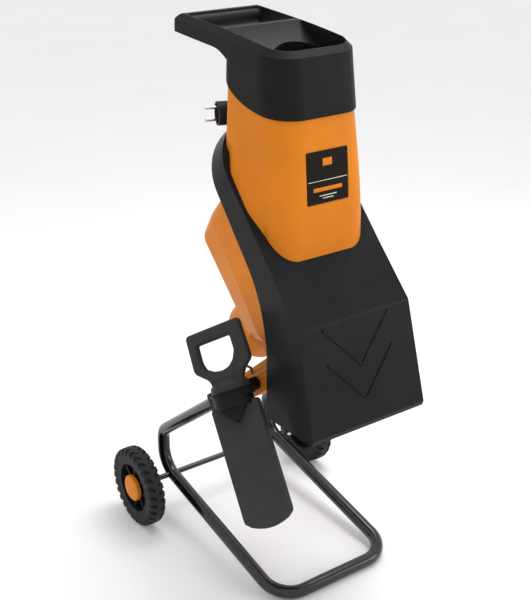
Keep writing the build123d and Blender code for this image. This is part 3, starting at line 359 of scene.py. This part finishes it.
def groove_depth(x, r, angle):
    """How far the tread is cut away at a place on the tyre."""
    across = abs(x)
    if r < TREAD_FOOT_R or across < CROWN:
        return 0.0
    pitch = 2 * pi / LUGS
    turn = max(0.0, BEND - across) * SLANT / TREAD_R
    stagger = 0.5 if x > 0 else 0.0
    phase = (angle - turn) / pitch + stagger
    away = abs(phase - round(phase)) * pitch * TREAD_R
    widen = smoothstep(CROWN, BEND + 1.5, across)
    width = GROOVE_IN + (GROOVE - GROOVE_IN) * widen
    wall = 1 - smoothstep(width / 2 - LUG_ROUND, width / 2 + LUG_ROUND, away)
    end = smoothstep(CROWN, CROWN + GROOVE_RUN, across)
    foot = smoothstep(TREAD_FOOT_R, TREAD_FULL_R, r)
    return LUG_DEPTH * wall * end * foot


def make_tyre(hand):
    low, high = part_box("tyre_" + hand)
    centre_x = (low[0] + high[0]) / 2
    half = (high[0] - low[0]) / 2 / MM
    outer = (high[2] - low[2]) / 2 / MM
    profile = tyre_profile(half, outer)
    turns = LUGS * STEPS_PER_LUG
    verts = []
    for i in range(turns):
        angle = 2 * pi * i / turns
        for x, r in profile:
            cut = groove_depth(x, r, angle)
            side_share = smoothstep(half - 5.0, half - 0.4, abs(x))
            radius = (r - cut * (1 - SIDE_CUT * side_share)) * MM
            shift = cut * SIDE_SHIFT * side_share * (1 if x > 0 else -1)
            y = AXLE.y + radius * cos(angle)
            z = AXLE.z + radius * sin(angle)
            verts.append((centre_x + (x - shift) * MM, y, z))
    faces = ring_faces(turns, len(profile), closed=True)
    body = "wheel_" + hand
    new_piece("tread_tyre_" + hand, verts, faces, "tyre_rubber", body, 32.0, ["tyre_" + hand])


for hand in ("left", "right"):
    make_tyre(hand)


# ---------------------------------------------------------------- push paddle
UPRIGHT_SLOPE = radians(39.0)
PADDLE_TURN = radians(42.0)
PADDLE_TILT = radians(-4.0)
RING_CENTRE = at(-158.0, -259.5, 378.6)
PADDLE_HALF = 37.5
PADDLE_TOP = -20.0
PADDLE_END = -211.0
PADDLE_CROWN = 12.0  # rise of the blade's rounded end
PADDLE_SMOOTH = 28.0
GRIP_CENTRE = (-3.0, 54.0)
GRIP_STEPS = 180
NECK_STEPS = 96
GRIP_ROUND = 14.0    # how far from a corner its rounding starts
HOLE_ROUND = 7.0
BLADE_ROUND = 13.0


def paddle_axes():
    """Directions across the paddle, out of its face and up its length."""
    hang = Vector((0, -sin(UPRIGHT_SLOPE), -cos(UPRIGHT_SLOPE)))
    across = Vector((1, 0, 0))
    across.rotate(Matrix.Rotation(PADDLE_TURN, 3, hang))
    facing = hang.cross(across)
    tilt = Matrix.Rotation(PADDLE_TILT, 3, facing)
    hang.rotate(tilt)
    across.rotate(tilt)
    return across, facing, -hang


ACROSS, FACING, UPWARD = paddle_axes()


def on_paddle(x, y, z):
    """A point in metres from millimetres across, out of and up the paddle."""
    return RING_CENTRE + (ACROSS * x + FACING * y + UPWARD * z) * MM


def soften(points, rounds=4):
    """Cut the corners of a closed outline again and again, which rounds them."""
    for _ in range(rounds):
        cut = []
        for i, (x, z) in enumerate(points):
            nx, nz = points[(i + 1) % len(points)]
            cut.append((x * 0.75 + nx * 0.25, z * 0.75 + nz * 0.25))
            cut.append((x * 0.25 + nx * 0.75, z * 0.25 + nz * 0.75))
        points = cut
    return points


def guarded(points, guard):
    """Two extra points beside each corner, so that rounding stays near the corner."""
    out = []
    for i, (x, z) in enumerate(points):
        beside = []
        for ox, oz in (points[i - 1], points[(i + 1) % len(points)]):
            dx, dz = ox - x, oz - z
            share = min(0.45, guard / hypot(dx, dz))
            beside.append((x + dx * share, z + dz * share))
        out += [beside[0], (x, z), beside[1]]
    return out


def ray_ring(points, centre, count):
    """(angle, distance) from the centre to a closed outline at evenly spaced angles."""
    ring = []
    cx, cz = centre
    for k in range(count):
        angle = 2 * pi * k / count
        dx, dz = cos(angle), sin(angle)
        best = 0.0
        for i, (x0, z0) in enumerate(points):
            x1, z1 = points[(i + 1) % len(points)]
            ex, ez = x1 - x0, z1 - z0
            det = ex * dz - ez * dx
            if abs(det) < 1e-9:
                continue
            t = (ex * (z0 - cz) - ez * (x0 - cx)) / det
            s = (dx * (z0 - cz) - dz * (x0 - cx)) / det
            if 0 <= s <= 1 and t > best:
                best = t
        ring.append((angle, best))
    return ring


# Edge profiles, as (height above the middle plane, inset from the outline).
GRIP_EDGE = [
    (10.0, 4.5), (9.6, 3.0), (8.6, 1.8), (6.6, 0.6), (5.2, 0.0), (0.9, 0.0), (0.5, 0.5), (0.0, 0.6),
]
HOLE_EDGE = [
    (10.0, 6.4), (9.5, 5.0), (8.4, 3.5), (6.6, 2.0), (4.8, 0.9), (3.0, 0.3), (1.4, 0.0), (0.0, 0.0),
]
PADDLE_EDGE = [
    (12.0, 2.8), (11.7, 1.7), (11.0, 0.9), (10.2, 0.4), (9.4, 1.6), (8.2, 1.6), (7.6, 0.0),
    (6.6, 0.0), (6.0, 1.6), (4.2, 1.6), (3.6, 0.0), (2.6, 0.0), (2.0, 1.5), (0.3, 1.5), (0.0, 1.5),
]


def both_ways(edge):
    """An edge profile given from the face to the middle, run on to the other face."""
    return edge + [(-y, inset) for y, inset in reversed(edge[:-1])]


def paddle_piece(name, verts, faces):
    new_piece(name, verts, faces, "pusher_plastic", "pusher", PADDLE_SMOOTH, ["pusher"])


def make_grip():
    """The D-shaped handle, a rounded frame round a rounded hole."""
    outline = [
        (24, -6), (24.5, 12), (28, 24), (45.5, 40), (44, 104),
        (-44.5, 98.5), (-46.5, 40), (-28, 24), (-24.5, 12), (-24, -6),
    ]
    hole = [
        (22, 81.5), (-29, 79), (-29.5, 52), (-26, 41), (-16, 35),
        (-4, 33.5), (7, 36.5), (16, 45), (22, 58),
    ]
    outer = ray_ring(soften(guarded(outline, GRIP_ROUND)), GRIP_CENTRE, GRIP_STEPS)
    inner = ray_ring(soften(guarded(hole, HOLE_ROUND)), GRIP_CENTRE, GRIP_STEPS)
    verts = []
    for ring, way, edge in ((outer, -1, GRIP_EDGE), (inner, 1, HOLE_EDGE)):
        for y, inset in both_ways(edge):
            for angle, reach in ring:
                r = reach + way * inset
                x = GRIP_CENTRE[0] + r * cos(angle)
                verts.append(on_paddle(x, y, GRIP_CENTRE[1] + r * sin(angle)))
    rows = len(both_ways(GRIP_EDGE))
    wall = rows * GRIP_STEPS
    faces = ring_faces(rows, GRIP_STEPS) + ring_faces(rows, GRIP_STEPS, wall)
    for row in (0, rows - 1):
        for k in range(GRIP_STEPS):
            a = row * GRIP_STEPS + k
            b = row * GRIP_STEPS + (k + 1) % GRIP_STEPS
            faces.append((a, b, b + wall, a + wall))
    paddle_piece("paddle_grip", verts, faces)


def make_blade():
    """The flat blade, with seams round its edge and a rounded end."""
    foot = PADDLE_END + PADDLE_CROWN
    outline = [(PADDLE_HALF, PADDLE_TOP), (-PADDLE_HALF, PADDLE_TOP), (-PADDLE_HALF, foot + 3)]
    for share in (-0.75, -0.5, -0.25, 0, 0.25, 0.5, 0.75):
        outline.append((PADDLE_HALF * share, foot - PADDLE_CROWN * (1 - share * share)))
    outline.append((PADDLE_HALF, foot + 3))
    outline = soften(guarded(outline, BLADE_ROUND), 3)
    count = len(outline)
    outward = []
    for i in range(count):
        px, pz = outline[i - 1]
        nx, nz = outline[(i + 1) % count]
        along = Vector((nx - px, nz - pz)).normalized()
        outward.append((along.y, -along.x))
    stations = both_ways(PADDLE_EDGE)
    verts = []
    for y, inset in stations:
        for (x, z), (ox, oz) in zip(outline, outward):
            verts.append(on_paddle(x - ox * inset, y, z - oz * inset))
    faces = ring_faces(len(stations), count)
    faces.append(tuple(range(count)))
    faces.append(tuple(range((len(stations) - 1) * count, len(stations) * count)))
    paddle_piece("paddle_blade", verts, faces)


def make_neck():
    """The round shoulder between the grip and the collar, with two raised bands."""
    profile = [
        (0.0, -22.5), (20.0, -22.5), (20.0, -1.0), (30.4, -0.6), (30.8, 0.2), (30.6, 3.6),
        (29.6, 4.2), (29.6, 6.4), (30.2, 6.9), (30.0, 10.2), (29.0, 11.0), (27.6, 13.0),
        (25.4, 17.0), (24.0, 22.0), (22.5, 26.0), (0.0, 26.0),
    ]
    verts = []
    for r, z in profile:
        depth = 1 - smoothstep(8.0, 24.0, z) * 0.6
        for k in range(NECK_STEPS):
            angle = 2 * pi * k / NECK_STEPS
            verts.append(on_paddle(r * cos(angle), r * sin(angle) * depth, z))
    paddle_piece("paddle_neck", verts, ring_faces(len(profile), NECK_STEPS))


make_grip()
make_blade()
make_neck()


# ---------------------------------------------------------------- label
BAR_FOOT = -0.2    # a bar's underside, let into the face below it
BAR_BEVEL = 0.2    # share of a bar's narrower side
BAR_WALL = 0.6     # share of its thickness below the bevel


def strip(name, plane, place, size, slot, body):
    """A raised bar with broken edges, centred at place (x, y) on a plane.

    The plane is an origin and its two directions, right and up. The size is width,
    height and thickness.
    """
    origin, right, up = plane
    out = right.cross(up)
    x, y = place
    width, height, thick = size
    bevel = min(width, height) * BAR_BEVEL
    verts = []
    for inset, rise in ((0, BAR_FOOT), (0, thick * BAR_WALL), (bevel, thick)):
        w = width / 2 - inset
        h = height / 2 - inset
        for sx, sy in ((-1, -1), (1, -1), (1, 1), (-1, 1)):
            verts.append(origin + (right * (x + sx * w) + up * (y + sy * h) + out * rise) * MM)
    faces = [(3, 2, 1, 0), (8, 9, 10, 11)] + ring_faces(3, 4)
    return new_piece(name, verts, faces, slot, body, 20.0)


def label_plane():
    """The label's outer face, found from its CAD mesh: the mean normal of its forward faces."""
    node = frame["nodes"]["label_plate"]
    normal = Vector((0, 0, 0))
    for face in node.data.polygons:
        if face.normal.y < -0.8:
            normal += face.normal * face.area
    normal.normalize()
    front = max(v.co.dot(normal) for v in node.data.vertices)
    centre = middle("label_plate")
    centre += normal * (front - centre.dot(normal))
    right = Vector((1, 0, 0))
    return centre, right, normal.cross(right)


INK_THICK = 0.15


def dress_label():
    """Plain bars where a label would be printed, with no lettering."""
    plane = label_plane()
    width = extent("label_plate").x / MM
    pale = metal("label_line", (0.62, 0.6, 0.55), 0.35, (1, 1, 1), 1500.0, 0.00002)
    orange = moulded("label_stripe", ORANGE, 0.35, 2500.0, 0.00002)
    bars = {  # height on the label, width, height, finish
        "label_block": (22, 17, 11, orange),
        "label_rule": (-5, width - 3, 0.9, pale),
        "label_stripe": (-18, 0.7 * width, 6, orange),
        "label_note_upper": (-27.5, 0.42 * width, 1.4, pale),
        "label_note_lower": (-31.5, 0.26 * width, 1.4, pale),
    }
    for name, (y, wide, high, finish) in bars.items():
        piece = strip(name, plane, (0, y), (wide, high, INK_THICK), "label_film", "hopper_unit")
        piece.data.materials[0] = finish


dress_label()


# ---------------------------------------------------------------- shell flares
SLOPE_RISE = 851.0    # z minus y everywhere on the hood's upper slope
FLARE_FRONT = -243.0
FLARE_REAR = -142.0
FLARE_GROWS = (-252.0, -206.0)   # from front to rear, the foot steps out here
FLARE_FADES = (-137.0, -170.0)   # and from rear to front, here
FLARE_OUT = 13.5
FLARE_HIGH = 78.0
FLARE_SUNK = 3.0      # how far its foot goes under the slope
FLARE_LET_IN = 0.5    # how far its upper edge lies inside the flank
FLARE_BACK = 1.5      # and its hidden side
FLARE_SWEEP = 1.8     # how late the flank turns out, 1 being a straight slant
FLARE_STEPS = 14
FLARE_STATIONS = 40


def shell_flank(tree, side, y, z):
    """How far the feed shell's flank stands from the middle at one place."""
    place = tree.ray_cast(at(side * 200, y, z), Vector((-side, 0, 0)))[0]
    return abs(place.x) / MM


def make_flare(hand, side, tree):
    """The shell's flank, swept out where it meets the hood: a closed strip let into the shell."""
    rows = FLARE_STEPS + 2
    verts = []
    for k in range(FLARE_STATIONS):
        y = FLARE_FRONT + (FLARE_REAR - FLARE_FRONT) * k / (FLARE_STATIONS - 1)
        foot = y + SLOPE_RISE
        out = FLARE_OUT * smoothstep(*FLARE_GROWS, y) * smoothstep(*FLARE_FADES, y)
        for j in range(rows - 1):
            t = j / FLARE_STEPS
            z = foot - FLARE_SUNK + (FLARE_HIGH + FLARE_SUNK) * t
            x = shell_flank(tree, side, y, z) - FLARE_LET_IN + out * (1 - t) ** FLARE_SWEEP
            verts.append(at(side * x, y, z))
        z = foot - FLARE_SUNK
        verts.append(at(side * (shell_flank(tree, side, y, z) - FLARE_BACK), y, z))
    faces = [tuple(range(rows)), tuple(range(len(verts) - rows, len(verts)))]
    faces += ring_faces(FLARE_STATIONS, rows)
    new_piece(f"shell_flare_{hand}", verts, faces, "orange_plastic", "hopper_unit", 30.0)


def flare_shell():
    shell = frame["nodes"]["feed_shell"].data
    places = [v.co for v in shell.vertices]
    tree = BVHTree.FromPolygons(places, [f.vertices for f in shell.polygons])
    make_flare("left", -1, tree)
    make_flare("right", 1, tree)


flare_shell()


# ---------------------------------------------------------------- housing web
FLANGE_TILT = radians(41.4)  # the motor axis points this far below the horizon
FLANGE_MIDDLE = at(0, -143.0, 647.0)
FLANGE_BACK = 7.0            # rear face of the flange, along the motor axis
WEB_DOWN = -29.0             # the web's middle, down the flange from its middle
WEB_WIDE = 160.0
WEB_HIGH = 28.0
WEB_THICK = 3.0


def close_housing():
    """A thin web over the motor plate's top edge, between the flange and the housing box."""
    motor_way = Vector((0, cos(FLANGE_TILT), -sin(FLANGE_TILT)))
    down = Vector((0, -sin(FLANGE_TILT), -cos(FLANGE_TILT)))
    plane = (FLANGE_MIDDLE + motor_way * FLANGE_BACK * MM, Vector((1, 0, 0)), down)
    size = (WEB_WIDE, WEB_HIGH, WEB_THICK)
    strip("housing_web", plane, (0, WEB_DOWN), size, "orange_plastic", "chassis")


close_housing()


# ---------------------------------------------------------------- studio
FLOOR_REACH = 12.0  # metres


def studio_floor():
    floor_mesh = bpy.data.meshes.new("studio_floor")
    signs = ((-1, -1), (1, -1), (1, 1), (-1, 1))
    corners = [(x * FLOOR_REACH, y * FLOOR_REACH, 0) for x, y in signs]
    floor_mesh.from_pydata(corners, [], [(0, 1, 2, 3)])
    floor = bpy.data.objects.new("studio_floor", floor_mesh)
    bpy.context.scene.collection.objects.link(floor)
    n = Nodes("studio_paper")
    n.colour(n.tint(n.noise(3.0, 3.0), 0.3, 0.7, (0.9, 0.9, 0.9), (0.92, 0.92, 0.92)))
    n.set(Roughness=0.9)
    floor_mesh.materials.append(n.material)


def area_light(name, place, aim, size, power):
    """A square softbox of so many metres and watts, turned towards a point."""
    data = bpy.data.lights.new(name, "AREA")
    data.shape = "RECTANGLE"
    data.size = size
    data.size_y = size
    data.energy = power
    lamp = bpy.data.objects.new(name, data)
    bpy.context.scene.collection.objects.link(lamp)
    lamp.location = place
    lamp.rotation_euler = (Vector(aim) - Vector(place)).to_track_quat("-Z", "Y").to_euler()


def studio_light():
    bpy.context.scene.view_settings.view_transform = "Standard"
    world = bpy.data.worlds.new("studio_air")
    world.use_nodes = True
    air = world.node_tree.nodes["Background"]
    air.inputs["Color"].default_value = (1, 1, 1, 1)
    air.inputs["Strength"].default_value = 0.92
    bpy.context.scene.world = world
    area_light("key_front_right", (2.3, -2.3, 1.3), (0, 0, 0.5), 1.4, 22)
    area_light("top_softbox", (0.45, 0.15, 1.85), (0, 0, 0.85), 0.9, 16)


CAMERA_PLACE = at(-959.3, -1468.7, 1200)
CAMERA_HEADING = radians(35.51)  # from +Y towards +X
CAMERA_PITCH = radians(24.80)    # below the horizon
CAMERA_ROLL = radians(0.565)
CAMERA_LENS = 65.95
CAMERA_SENSOR = 36.0
CAMERA_NEAR = 0.05


def place_camera():
    forward = Vector((
        sin(CAMERA_HEADING) * cos(CAMERA_PITCH),
        cos(CAMERA_HEADING) * cos(CAMERA_PITCH),
        -sin(CAMERA_PITCH),
    ))
    level = Vector((cos(CAMERA_HEADING), -sin(CAMERA_HEADING), 0))
    above = level.cross(forward)
    right = level * cos(CAMERA_ROLL) + above * sin(CAMERA_ROLL)
    up = above * cos(CAMERA_ROLL) - level * sin(CAMERA_ROLL)
    data = bpy.data.cameras.new("studio_camera")
    data.lens = CAMERA_LENS
    data.sensor_width = CAMERA_SENSOR
    data.clip_start = CAMERA_NEAR
    camera = bpy.data.objects.new("studio_camera", data)
    bpy.context.scene.collection.objects.link(camera)
    turn = Matrix((right, up, -forward)).transposed().to_4x4()
    camera.matrix_world = Matrix.Translation(CAMERA_PLACE) @ turn
    bpy.context.scene.camera = camera


studio_floor()
studio_light()
place_camera()
